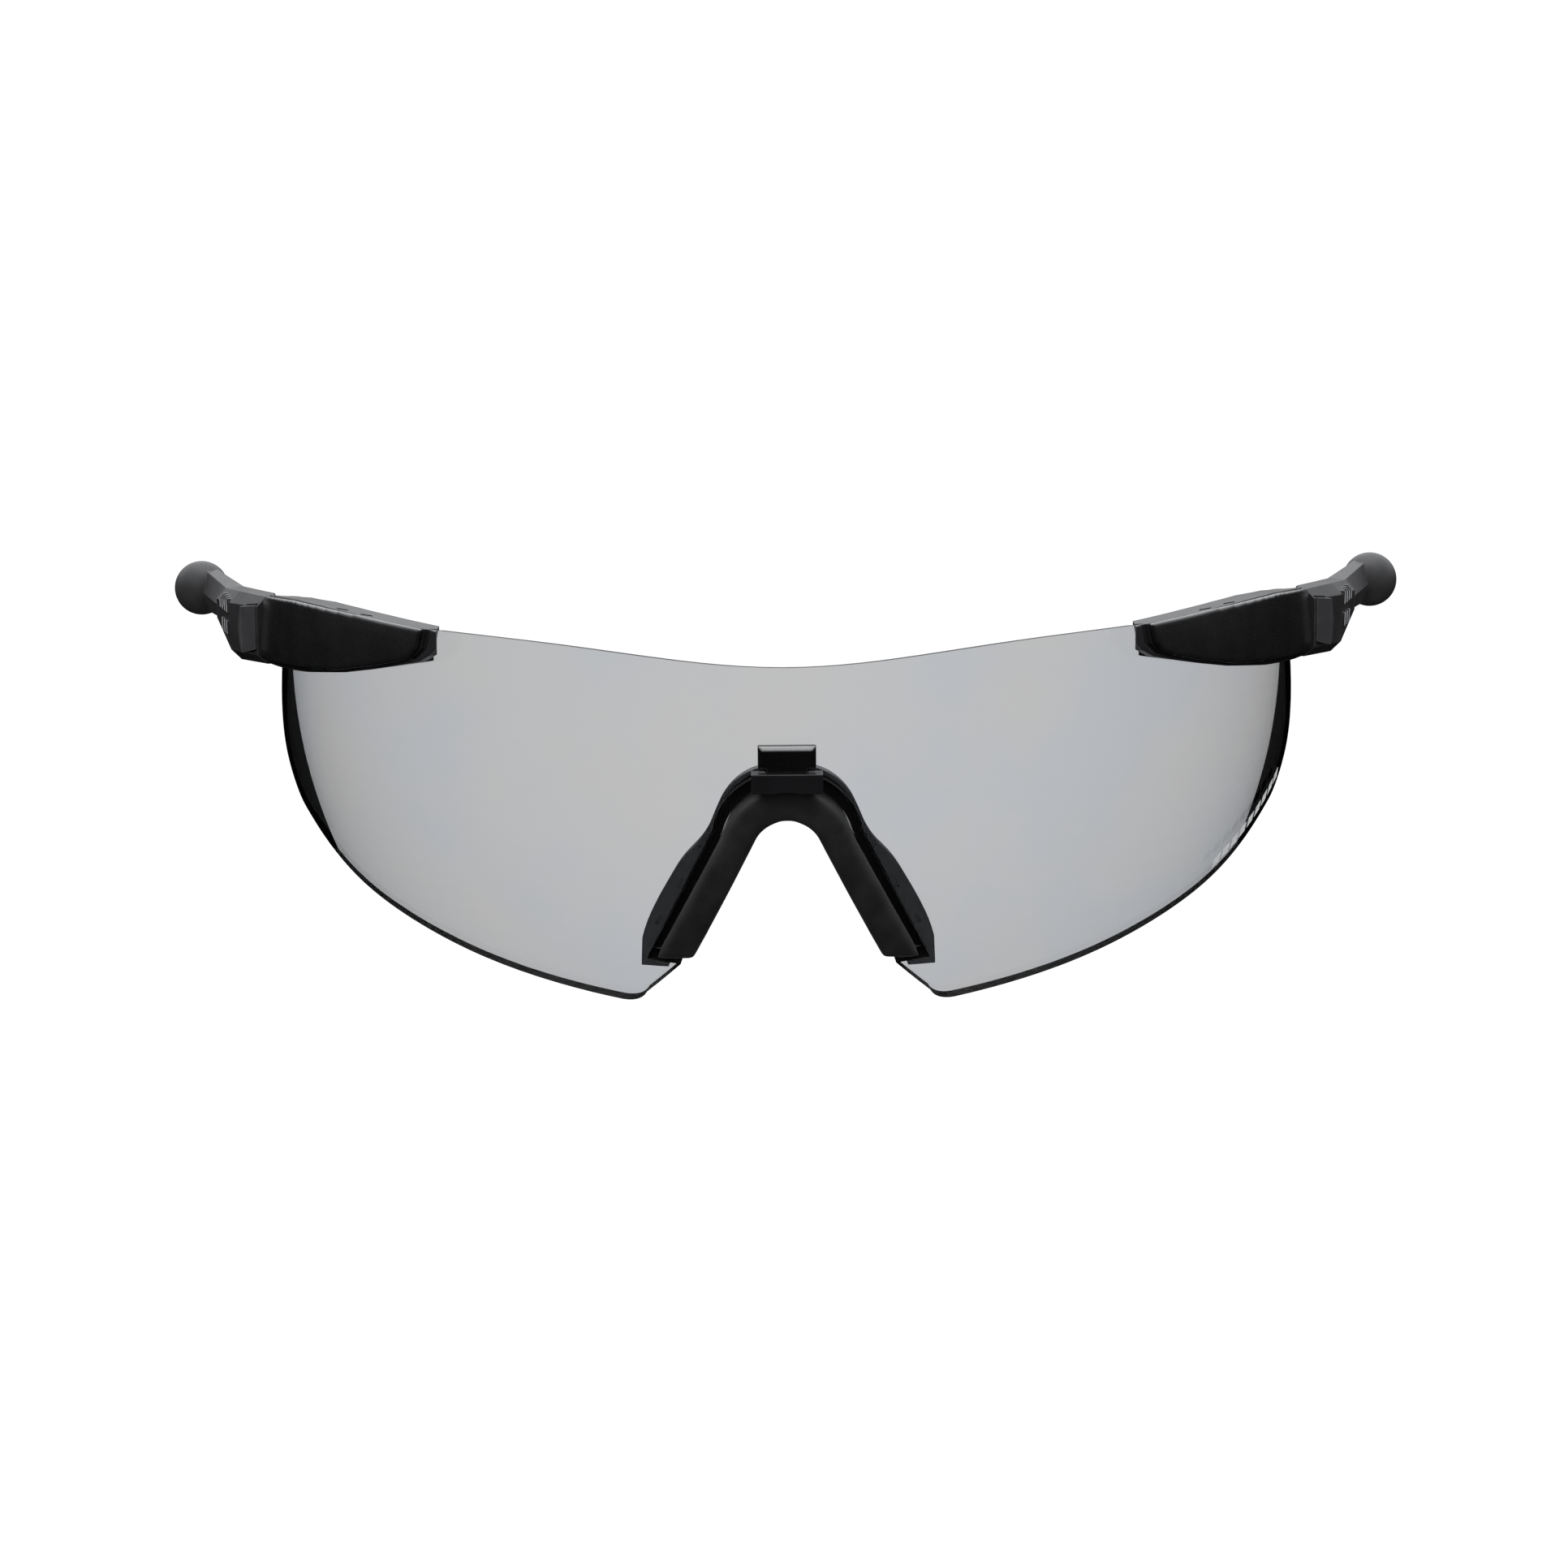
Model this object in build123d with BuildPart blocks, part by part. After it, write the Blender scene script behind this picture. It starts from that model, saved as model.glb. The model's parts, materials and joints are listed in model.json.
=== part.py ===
"""Wraparound shield sunglasses: spherical lens, clip-on corner pods, folding ball-stud blocks and nose piece.

Everything is drawn about the centre of the lens sphere: +X to the wearer's left, +Y back towards the ears and
+Z up.
Azimuth is measured from straight ahead (-Y) round towards +X, elevation up from level, both in degrees.
Finished pieces are moved so that the origin is where the bridge of the nose meets the pad.
"""

import os
from math import cos, degrees, radians, sin, tan

from build123d import *

os.makedirs("parts", exist_ok=True)

# Lens shell
LENS_R = 66.0
LENS_T = 2.2
LENS_INNER_R = LENS_R - LENS_T
NOSE_ORIGIN = (0, 56, 11)

# Cone that carries an outline out through the shells
CONE_NEAR = 3.0
CONE_FAR = 72.0

# Corner pod, in radii about the lens centre
SLOT_PLAY = 0.2
POD_INNER_R = 61.9
POD_FRONT_R = 67.2
POD_TIP_X = 42.4
POD_SECTOR_AZ = 30.0
POD_MIDDLE_AZ = 60.0
POD_SLOPE = 9.1
POD_REACH = 20.0
POD_END_AZ = 79.0
POD_SLOT_END_AZ = 75.6
COVER_R = 68.0
COVER_SHIFT = (0.15, 0.4)
COVER_BEVEL = 0.5
END_GROOVE_R = 66.75

# Magnets that hold a pod to the lens: (azimuth, height)
MAGNET_R = 1.1
LENS_MAGNET_R = (LENS_INNER_R + 0.1, LENS_INNER_R + 1.35)
POD_MAGNET_R = (LENS_INNER_R - 1.15, LENS_INNER_R - 0.25)
MAGNET_SPOTS = ((51.0, 7.9), (60.0, 6.7), (69.0, 5.0))
COVER_PIN_R = 0.5
COVER_PIN_END_R = (POD_FRONT_R - 0.75, POD_FRONT_R + 0.45)
COVER_PIN_PLAY = 0.05
COVER_PIN_SPOTS = ((48.5, 9.6), (74.0, 4.8))
POCKET_PLAY = 0.05
ROOF_NOTCH_AZ = (52.5, 57.5)
ROOF_NOTCH_R = 64.9
ROOF_NOTCH_FLOOR = 11.3
ROOF_NOTCH_SIZE = (1.5, 0.75)

# Fold hinge between pod and block
JOINT_GAP = 0.3
KNUCKLE_R = 1.8
KNUCKLE_PLAY = 0.3
PIVOT_R = 63.7
PIVOT_BACK = 2.2
PIN_R = 0.8
RUN_PLAY = 0.05
LUG_Z = ((1.7, 3.4), (6.4, 8.1))
KNUCKLE_Z = (3.6, 6.2)
BORE_Z = (-5.0, 15.0)
LUG_ROOT = 0.4
WEB_SIZE = (2.4, 3.2)
WEB_SHIFT = (0.6, 1.6)
JOINT_REACH = 60.0

# Hinge block: its axis runs from the pod end to the ball
BLOCK_Z = 5.2
BLOCK_START = (64.2, -12.5)
BALL_CENTRE = (76.0, 11.6)
BLOCK_LENGTH = 15.0
BALL_R = 3.5
NECK_ROOT = ((-2.4, 2.3), 2.2)
NECK_TIP = ((-2.3, 0.6), 2.7)
SHAFT_R = 1.5
SHAFT_END = 4.8
GROOVE_R = 1.0
GROOVE = (5.2, 6.4)
LATCH_T = 0.8
LATCH_SIZE = (2.8, 3.8)
LATCH_OUT = 0.5
LATCH_FORK = 2.7
LATCH_FORK_OUT = 0.3
LATCH_ROOM = (4.2, 4.2)
MARK_ROWS = ((1.35, 4), (-1.5, 3))
MARK_START = 8.3
MARK_PITCH = 1.15
MARK_SIZE = (0.5, 1.7)
MARK_LEAN = 0.25
MARK_PROUD = 0.25
MARK_LEVELS = (2.0, 5.0)

# Push button, drawn on the block's outer side
BUTTON_FACE = 4.3
BUTTON_BACK = 2.05
BUTTON_TRAVEL = 0.6
BUTTON_PLAY = 0.15
BUTTON_OUTLINE = ((1.35, -3.1), (2.9, -3.7), (4.3, -3.1), (5.4, -0.9), (3.5, 2.2), (1.35, 2.6))
BUTTON_PROFILE = ((0.5, 0.9), (0.5, 2.5), (1.35, 2.9), (3.0, 4.1), (6.0, 3.4), (6.0, 0.9))
SPRING_SPOT = (2.9, -0.6)
SPRING_R = 1.05
SPRING_WIRE_R = 0.15
SPRING_TURNS = 3
SPRING_FLOOR = 0.3
PEG_R = 0.6
PEG_LENGTH = 0.8

# Nose piece, in radii about the lens centre
PAD_FRONT_R = 67.0
PAD_BACK_R = 57.5
PAD_BEVEL = 0.5
CORE_R = (59.5, 64.5)
RIM_FRONT_R = 64.4
FLANGE_R = (62.0, 63.5)
FLANGE_SLOTS = ((9.3, -10.1), (12.0, -15.2), (15.0, -19.9))
SLOT_SIZE = (0.4, 1.7)
SLOT_DEPTH = 0.5
SLOT_LEAN = 30.0

# Bridge block and its hooked clip, in plain coordinates
BRIDGE = (4.3, (-68.6, -66.3), (-4.1, -1.75))
BRIDGE_TIE = (2.8, (-67, -64), (-3.9, -2.7))
BRIDGE_SLOT_DEPTHS = (-68.05, -66.1)
CLIP_HEAD = (3.5, (-67.8, -66.4), (-1.6, 1.5))
CLIP_BEVEL = 0.5
CLIP_LEG_T = 1.2
CLIP_LEG_HALF = 2.4
CLIP_PIVOT = (-67.2, -2.6)
CLIP_KNUCKLE_R = 0.75
CLIP_PIN_R = 0.35
CLIP_PLAY = 0.25


def bearing(azimuth):
    """Unit vectors at an azimuth: straight out from the lens axis, and round towards the ear."""
    a = radians(azimuth)
    return Vector(sin(a), -cos(a), 0), Vector(cos(a), sin(a), 0)


def on_sphere(azimuth, elevation, radius):
    """Point at an azimuth and elevation on a sphere about the lens centre."""
    out, _ = bearing(azimuth)
    e = radians(elevation)
    return Vector(out.X * cos(e), out.Y * cos(e), sin(e)) * radius


def flipped(points):
    """The same run of (azimuth, elevation) points on the other side, in reverse order."""
    return [(-a, e) for a, e in reversed(points)]


def symmetric(points):
    """A run across the middle, from its half that starts on the middle line."""
    return flipped(points) + list(points[1:])


def cone_point(azimuth, elevation, depth):
    """Where the ray at an azimuth and elevation meets the plane a depth ahead of the lens centre."""
    return depth * tan(radians(azimuth)), depth * tan(radians(elevation)) / cos(radians(azimuth))


def radial_cone(runs):
    """Solid whose sides are radial and pass through a closed outline made of straight and curved runs."""
    with BuildPart() as cone:
        for depth in (CONE_NEAR, CONE_FAR):
            with BuildSketch(Plane.XZ.offset(depth)):
                with BuildLine():
                    for run in runs:
                        points = [cone_point(a, e, depth) for a, e in run]
                        if len(points) > 2:
                            Spline(*points)
                        else:
                            Line(*points)
                make_face()
        loft(ruled=True)
    return cone.part


def shell_piece(runs, inner_r, outer_r):
    """Piece of a spherical shell with radial edges along an outline."""
    with BuildPart() as piece:
        Sphere(outer_r)
        add(radial_cone(runs), mode=Mode.INTERSECT)
        Sphere(inner_r, mode=Mode.SUBTRACT)
    return piece.part


def sector(start_az, end_az, low_z, high_z):
    """Wedge between two azimuths and two heights, reaching past every shell."""
    reach = 2 * LENS_R
    start, end = bearing(start_az)[0] * reach, bearing(end_az)[0] * reach
    with BuildPart() as wedge:
        with BuildSketch(Plane.XY.offset(low_z)):
            with BuildLine():
                Polyline((0, 0), (start.X, start.Y), (end.X, end.Y), close=True)
            make_face()
        extrude(amount=high_z - low_z)
    return wedge.part


def side_prism(points, slope):
    """Prism from an outline (run along the pod, height) seen from beside it, sinking inwards by a slope."""
    facing, along = bearing(POD_MIDDLE_AZ)
    direction = facing + Vector(0, 0, tan(radians(slope)))
    with BuildPart() as prism:
        with BuildSketch(Plane(origin=facing * LENS_R, x_dir=along, z_dir=direction)):
            with BuildLine():
                Polyline(*points, close=True)
            make_face()
        extrude(amount=POD_REACH, both=True)
    return prism.part


def radial_rod(azimuth, height, inner_r, outer_r, rod_r):
    """Round rod along a sphere's radius, between two distances from the lens centre."""
    elevation = degrees(height / LENS_R)
    axis = on_sphere(azimuth, elevation, 1)
    with BuildPart() as rod:
        with BuildSketch(Plane(origin=axis * inner_r, z_dir=axis)):
            Circle(rod_r)
        extrude(amount=outer_r - inner_r)
    return rod.part


def write(shape, name):
    """Move a finished piece to the nose origin and write it under its name."""
    placed = shape.moved(Location(NOSE_ORIGIN))
    placed.label = name
    export_step(placed, f"parts/{name}.step")


def write_pair(shape, name):
    """Write a piece of the +X side and its mirror image."""
    write(shape, f"{name}_left")
    write(mirror(shape, about=Plane.YZ), f"{name}_right")


# ---------------------------------------------------------------- lens
TOP_HALF = ((0, 9.2), (8, 9.5), (15, 10.05), (24.5, 10.65), (33, 10.75), (41.6, 10.5))
UNDER_POD = ((41.6, 10.5), (41.65, 9.4), (50, 8.9), (60, 8.0), (74.0, 5.2))
SIDE_EDGE = (
    (74.0, 5.2), (74.9, 0), (76.3, -5), (77.1, -9), (75.7, -12.55), (72.0, -15.2), (66.5, -17.95),
    (59.5, -21.15), (50.1, -24.15), (37.0, -27.5), (28.0, -29.2), (20.8, -30.3),
)
LENS_CORNER = ((20.8, -30.3), (18.8, -30.05), (17.4, -28.9))
HOOK = ((17.4, -28.9), (12.6, -24.7), (16.6, -24.2), (7.9, -8.1))
ARCH_HALF = ((0, -1.6), (4.7, -3.1), (7.9, -8.1))


def legs(points):
    """Straight runs through consecutive points."""
    return [points[i:i + 2] for i in range(len(points) - 1)]


def lens_runs():
    """The lens outline: top edge, then down each side to the nose notch."""
    right_side = [*legs(UNDER_POD), SIDE_EDGE, LENS_CORNER, *legs(HOOK)]
    left_side = [flipped(run) for run in reversed(right_side)]
    return [symmetric(TOP_HALF), *right_side, flipped(symmetric(ARCH_HALF)), *left_side]


def make_lens():
    """Smoke shield with blind pockets for the magnets on its inner face."""
    floor_r = LENS_MAGNET_R[1] + POCKET_PLAY
    with BuildPart() as lens:
        add(shell_piece(lens_runs(), LENS_INNER_R, LENS_R))
        for azimuth, height in MAGNET_SPOTS:
            for side in (1, -1):
                spot = side * azimuth, height
                add(radial_rod(*spot, LENS_INNER_R - 1, floor_r, MAGNET_R + POCKET_PLAY), mode=Mode.SUBTRACT)
    return lens.part


# ---------------------------------------------------------------- corner pod
POD_TOP = ((26.0, 9.0), (18.0, 10.0), (7.7, 11.2), (0.5, 11.7), (-7.0, 12.1), (-21.5, 12.7))
POD_FOOT = (
    (-26.0, 13.0), (-23.4, 11.2), (-22.9, 10.3), (-22.0, 9.2), (-20.6, 8.3), (-16.7, 7.2), (-12.2, 6.05),
    (-7.0, 4.85), (3.0, 3.1), (12.0, 1.9), (26.0, 0.1),
)
COVER_TOP = ((26.0, 8.9), (17.0, 10.0), (7.7, 11.1), (0.9, 11.6), (-10.3, 12.3), (-20.6, 12.7))
COVER_FOOT = (
    (-20.7, 16.0), (-20.75, 11.6), (-20.5, 9.85), (-19.3, 8.5), (-17.8, 7.95), (-13.6, 6.75), (-8.7, 5.65),
    (-6.0, 4.95), (2.0, 3.75), (7.7, 3.0), (17.0, 1.75), (26.0, 0.6),
)
END_GROOVE = ((-20.9, 16.0), (-21.9, 16.0), (-21.7, 10.0), (-20.1, 8.5), (-19.2, 8.35), (-20.7, 9.9))
SLOT_OUTLINE = (
    (-30, 16.0), (-20.1, 16.0), (-20.1, 11.8), (-11.3, 10.75), (0, 9.65), (16.2, 6.85), (26, 6.85), (26, -8),
    (-30, -8),
)
LOW, HIGH = -12.0, 22.0
TOP_RUN_ON = 8.0


def between(top, foot):
    """Space under a sloping top outline and over a level foot outline."""
    tip, tip_height = top[-1][0] - TOP_RUN_ON, top[-1][1]
    with BuildPart() as space:
        add(side_prism((*top, (tip, tip_height), (tip, LOW), (top[0][0], LOW)), POD_SLOPE))
        add(side_prism((*foot, (foot[-1][0], HIGH), (foot[0][0], HIGH)), 0), mode=Mode.INTERSECT)
    return space.part


def hinge_lug(low_z, high_z, radius, reach_forward):
    """Round lug about the fold pivot with a square root running forward to the pod end."""
    out, back = bearing(POD_END_AZ)
    pivot = out * PIVOT_R + back * PIVOT_BACK
    with BuildPart() as lug:
        with BuildSketch(Plane(origin=(pivot.X, pivot.Y, low_z), x_dir=out, z_dir=(0, 0, 1))):
            Circle(radius)
            if reach_forward > 0:
                with Locations((0, -reach_forward / 2)):
                    Rectangle(2 * radius, reach_forward)
        extrude(amount=high_z - low_z)
    return lug.part


def make_pod_body():
    """Channel that wraps the lens corner, with two hinge lugs at its rear end."""
    with BuildPart() as body:
        Sphere(POD_FRONT_R)
        add(sector(POD_SECTOR_AZ, POD_END_AZ, LOW, HIGH), mode=Mode.INTERSECT)
        with BuildSketch(Plane.YZ.offset(POD_TIP_X)):
            Rectangle(3 * LENS_R, LENS_R)
        extrude(amount=LENS_R, mode=Mode.INTERSECT)
        add(between(POD_TOP, POD_FOOT), mode=Mode.INTERSECT)
        Sphere(POD_INNER_R, mode=Mode.SUBTRACT)
        with BuildPart(mode=Mode.PRIVATE) as slot:
            Sphere(LENS_R + SLOT_PLAY)
            add(sector(POD_SECTOR_AZ, POD_SLOT_END_AZ, LOW, HIGH), mode=Mode.INTERSECT)
            add(side_prism(SLOT_OUTLINE, POD_SLOPE), mode=Mode.INTERSECT)
            Sphere(LENS_INNER_R - SLOT_PLAY, mode=Mode.SUBTRACT)
        add(slot.part, mode=Mode.SUBTRACT)
        with BuildPart(mode=Mode.PRIVATE) as groove:
            add(side_prism(END_GROOVE, 0))
            Sphere(END_GROOVE_R, mode=Mode.SUBTRACT)
        add(groove.part, mode=Mode.SUBTRACT)
        floor_r = POD_MAGNET_R[0] - POCKET_PLAY
        for spot in MAGNET_SPOTS:
            add(radial_rod(*spot, floor_r, LENS_INNER_R, MAGNET_R + POCKET_PLAY), mode=Mode.SUBTRACT)
        floor_r = COVER_PIN_END_R[0] - COVER_PIN_PLAY
        for spot in COVER_PIN_SPOTS:
            add(radial_rod(*spot, floor_r, COVER_R, COVER_PIN_R), mode=Mode.SUBTRACT)
        half_x, half_y = ROOF_NOTCH_SIZE
        for azimuth in ROOF_NOTCH_AZ:
            out, back = bearing(azimuth)
            middle = out * ROOF_NOTCH_R + Vector(0, 0, ROOF_NOTCH_FLOOR)
            with BuildSketch(Plane(origin=middle, x_dir=back, z_dir=(0, 0, 1))):
                with BuildLine():
                    Polyline((-half_x, 0), (0, half_y), (half_x, 0), (0, -half_y), close=True)
                make_face()
            extrude(amount=2, mode=Mode.SUBTRACT)
        for low_z, high_z in LUG_Z:
            add(hinge_lug(low_z, high_z, KNUCKLE_R, PIVOT_BACK + LUG_ROOT))
        add(hinge_lug(*BORE_Z, PIN_R, 0), mode=Mode.SUBTRACT)
    return body.part


def make_pod_cover():
    """Smooth outer plate of the pod, thicker towards the ear, bevelled along its rear outer edge."""
    with BuildPart() as cover:
        with Locations((COVER_SHIFT[0], COVER_SHIFT[1], 0)):
            Sphere(COVER_R)
        add(sector(POD_SECTOR_AZ, POD_END_AZ, LOW, HIGH), mode=Mode.INTERSECT)
        add(between(COVER_TOP, COVER_FOOT), mode=Mode.INTERSECT)
        Sphere(POD_FRONT_R, mode=Mode.SUBTRACT)
        rear_face = cover.faces().sort_by(Axis.Y)[-1]
        chamfer(rear_face.edges().sort_by(Axis.X)[-1], COVER_BEVEL)
        ceiling_r = COVER_PIN_END_R[1] + COVER_PIN_PLAY
        for spot in COVER_PIN_SPOTS:
            add(radial_rod(*spot, POD_INNER_R, ceiling_r, COVER_PIN_R), mode=Mode.SUBTRACT)
    return cover.part


def rods(spots, inner_r, outer_r, rod_r):
    """Group of equal radial rods, one for each (azimuth, height)."""
    with BuildPart() as group:
        for azimuth, height in spots:
            add(radial_rod(azimuth, height, inner_r, outer_r, rod_r))
    return group.part


# ---------------------------------------------------------------- hinge block and ball stud
AXIS = (Vector(*BALL_CENTRE) - Vector(*BLOCK_START)).normalized()
OUTWARD = Vector(AXIS.Y, -AXIS.X, 0)
BALL_AT = (Vector(*BALL_CENTRE) - Vector(*BLOCK_START)).length


def across(station):
    """Plane square to the block axis at a station, x outward and y up."""
    centre = Vector(BLOCK_START[0], BLOCK_START[1], BLOCK_Z) + AXIS * station
    return Plane(origin=centre, x_dir=OUTWARD, z_dir=AXIS * -1)


def facing_out(level):
    """Plane parallel to the block's outer side at a level, x along the axis and y up."""
    centre = Vector(BLOCK_START[0], BLOCK_START[1], BLOCK_Z) + OUTWARD * level
    return Plane(origin=centre, x_dir=AXIS, z_dir=OUTWARD)


def facing_down():
    """Plane square to the up axis through the block's middle, x along the block and y outward."""
    return Plane(origin=(BLOCK_START[0], BLOCK_START[1], BLOCK_Z), x_dir=AXIS, z_dir=(0, 0, -1))


# Station, width, height, corner cut, and the larger cut of the top corner on the face side
BLOCK_SECTIONS = (
    (-3.0, (-3.1, 2.0), (-4.7, 3.9), 1.1, 1.6),
    (7.5, (-2.8, 3.7), (-5.6, 3.3), 1.4, 2.8),
    (BLOCK_LENGTH, (-2.4, 2.6), (-2.8, 2.3), 1.3, 1.5),
)


def eight_sides(width, height, cut, crown):
    """Corner points of a rectangle with cut corners, the top one on the face side cut by more."""
    (left, right), (low, high) = width, height
    return (
        (left + cut, low), (right - cut, low), (right, low + cut), (right, high - cut),
        (right - cut, high), (left + crown, high), (left, high - crown), (left, low + cut),
    )


def button_prism(grow, low, high):
    """Prism of the button outline grown all round, between two levels on the outer side."""
    with BuildPart() as prism:
        with BuildSketch(facing_out(low)):
            with BuildLine():
                Polyline(*BUTTON_OUTLINE, close=True)
            make_face()
            if grow > 0:
                offset(amount=grow, kind=Kind.INTERSECTION)
        extrude(amount=high - low)
    return prism.part


def raised_marks():
    """Two rows of plain slanted bars on the rear outer facet."""
    width, height = MARK_SIZE
    with BuildPart() as marks:
        with BuildSketch(facing_out(MARK_LEVELS[0])):
            for row, count in MARK_ROWS:
                for i in range(count):
                    low = MARK_START + MARK_PITCH * i
                    high = low + MARK_LEAN
                    foot, head = row - height / 2, row + height / 2
                    corners = (low, foot), (low + width, foot), (high + width, head), (high, head)
                    with BuildLine():
                        Polyline(*corners, close=True)
                    make_face()
        extrude(amount=MARK_LEVELS[1] - MARK_LEVELS[0])
    return marks.part


def block_hull(grow):
    """Faceted outer shape of the block, grown all round by a little."""
    with BuildPart() as hull:
        for station, (left, right), (low, high), cut, crown in BLOCK_SECTIONS:
            corners = eight_sides((left - grow, right + grow), (low - grow, high + grow), cut, crown)
            with BuildSketch(across(station)):
                with BuildLine():
                    Polyline(*corners, close=True)
                make_face()
        loft(ruled=True)
    return hull.part


def behind_joint():
    """Everything behind the joint plane, less the space the pod's lugs need."""
    out, back = bearing(POD_END_AZ)
    start = back * JOINT_GAP
    half = JOINT_REACH / 2
    clear = PIVOT_R + KNUCKLE_R + KNUCKLE_PLAY
    with BuildPart() as space:
        with BuildSketch(Plane(origin=(start.X, start.Y, -half), x_dir=out, z_dir=(0, 0, 1))):
            with Locations((LENS_R, half)):
                Rectangle(JOINT_REACH, JOINT_REACH)
        extrude(amount=JOINT_REACH)
        with BuildSketch(Plane(origin=(0, 0, -half), x_dir=out, z_dir=(0, 0, 1))):
            with Locations((clear - half, PIVOT_BACK - half)):
                Rectangle(JOINT_REACH, JOINT_REACH)
        extrude(amount=JOINT_REACH, mode=Mode.SUBTRACT)
        add(hinge_lug(-half, half, KNUCKLE_R + KNUCKLE_PLAY, 0), mode=Mode.SUBTRACT)
    return space.part


def knuckle_web():
    """The block's own knuckle and the web that ties it to the block."""
    out, back = bearing(POD_END_AZ)
    pivot = out * PIVOT_R + back * PIVOT_BACK
    with BuildPart() as web:
        with BuildSketch(Plane(origin=(pivot.X, pivot.Y, KNUCKLE_Z[0]), x_dir=out, z_dir=(0, 0, 1))):
            Circle(KNUCKLE_R)
            with Locations(WEB_SHIFT):
                Rectangle(*WEB_SIZE)
        extrude(amount=KNUCKLE_Z[1] - KNUCKLE_Z[0])
    return web.part


def make_hinge_block():
    """Faceted block with a knuckle, a button recess, a latch slot and the stud's bore."""
    with BuildPart() as block:
        add(block_hull(0))
        with BuildPart(mode=Mode.PRIVATE) as marks:
            add(block_hull(MARK_PROUD))
            add(raised_marks(), mode=Mode.INTERSECT)
        add(marks.part)
        add(behind_joint(), mode=Mode.INTERSECT)
        add(knuckle_web())
        add(hinge_lug(*BORE_Z, PIN_R + RUN_PLAY, 0), mode=Mode.SUBTRACT)
        add(button_prism(BUTTON_PLAY, BUTTON_BACK - BUTTON_TRAVEL - 0.05, 6), mode=Mode.SUBTRACT)
        with BuildSketch(facing_out(SPRING_FLOOR)):
            with Locations(SPRING_SPOT):
                Circle(SPRING_R + SPRING_WIRE_R + 0.15)
        extrude(amount=3, mode=Mode.SUBTRACT)
        with BuildSketch(across(BLOCK_LENGTH + 1)):
            Circle(SHAFT_R + RUN_PLAY)
        extrude(amount=BLOCK_LENGTH + 1 - SHAFT_END + 0.2, mode=Mode.SUBTRACT)
        with BuildSketch(across(GROOVE[1])):
            with Locations((LATCH_OUT, 0)):
                Rectangle(*LATCH_ROOM)
        extrude(amount=GROOVE[1] - GROOVE[0], mode=Mode.SUBTRACT)
    return block.part


def make_button():
    """Five-sided push button with a ridge across its face and a peg for its spring."""
    with BuildPart() as button:
        add(button_prism(0, BUTTON_BACK, BUTTON_FACE))
        with BuildSketch(facing_down()):
            with BuildLine():
                Polyline(*BUTTON_PROFILE, close=True)
            make_face()
        extrude(amount=10, both=True, mode=Mode.INTERSECT)
        with BuildSketch(facing_out(BUTTON_BACK)):
            with Locations(SPRING_SPOT):
                Circle(PEG_R)
        extrude(amount=-PEG_LENGTH)
    return button.part


def make_spring():
    """Small coil that stands on the floor of its pocket and pushes the button out."""
    height = BUTTON_BACK - SPRING_FLOOR - 2 * SPRING_WIRE_R - 0.04
    with BuildPart() as spring:
        with BuildLine():
            coil = Helix(pitch=height / SPRING_TURNS, height=height, radius=SPRING_R)
        with BuildSketch(Plane(origin=coil @ 0, z_dir=coil % 0)):
            Circle(SPRING_WIRE_R)
        sweep(path=coil, is_frenet=True)
    seat = facing_out(SPRING_FLOOR + SPRING_WIRE_R + 0.02)
    return spring.part.moved(seat.location * Location((*SPRING_SPOT, 0)))


def make_latch():
    """Forked plate under the button that straddles the groove of the stud."""
    middle = (GROOVE[0] + GROOVE[1]) / 2
    with BuildPart() as latch:
        with BuildSketch(across(middle + LATCH_T / 2)):
            with Locations((LATCH_OUT, 0)):
                Rectangle(*LATCH_SIZE)
            with Locations((LATCH_FORK_OUT, 0)):
                Rectangle(LATCH_FORK, 2 * (GROOVE_R + 0.1), mode=Mode.SUBTRACT)
        extrude(amount=LATCH_T)
    return latch.part


def six_sides(left, right, half_height):
    """Corner points of a hexagon that comes to a point on each side."""
    quarter = (right - left) / 4
    return (
        (left, 0), (left + quarter, half_height), (right - quarter, half_height),
        (right, 0), (right - quarter, -half_height), (left + quarter, -half_height),
    )


def make_ball_stud():
    """Ball on a six-sided neck, with a grooved shaft that turns in the block."""
    with BuildPart() as stud:
        for station, (width, half_height) in ((BLOCK_LENGTH + 0.2, NECK_ROOT), (BALL_AT, NECK_TIP)):
            with BuildSketch(across(station)):
                with BuildLine():
                    Polyline(*six_sides(*width, half_height), close=True)
                make_face()
        loft(ruled=True)
        with Locations(across(BALL_AT)):
            Sphere(BALL_R)
        with BuildSketch(across(BLOCK_LENGTH + 0.5)):
            Circle(SHAFT_R)
        extrude(amount=BLOCK_LENGTH + 0.5 - SHAFT_END)
        with BuildSketch(across(GROOVE[1])):
            Circle(SHAFT_R + 1)
            Circle(GROOVE_R, mode=Mode.SUBTRACT)
        extrude(amount=GROOVE[1] - GROOVE[0], mode=Mode.SUBTRACT)
    return stud.part


# ---------------------------------------------------------------- nose piece
PAD_OUTER = ((0, -3.3), (2.4, -3.7), (4.6, -5.1), (6.9, -8.9), (15.3, -23.8))
PAD_INNER = ((10.9, -23.6), (3.45, -9.4), (1.75, -7.5), (0, -7.0))
CORE_OUTER = ((0, -4.5), (2.0, -4.9), (3.8, -6.2), (5.9, -9.2), (13.2, -21.8))
CORE_INNER = ((12.4, -21.6), (5.1, -9.2), (3.1, -6.9), (0, -5.4))
RIM_OUTER = ((0, -1.95), (2.6, -2.3), (4.6, -3.4), (7.6, -8.2), (16.25, -23.85))
RIM_INNER = ((15.2, -23.6), (7.1, -8.9), (4.75, -5.0), (2.5, -3.55), (0, -3.15))
FLANGE_OUTER = (
    (0, -1.4), (3.4, -1.8), (5.9, -3.4), (7.4, -5.6), (9.1, -9.3), (11.6, -12.2), (13.4, -14.9),
    (15.6, -18.6), (17.3, -22.4), (18.0, -26.2),
)
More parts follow.
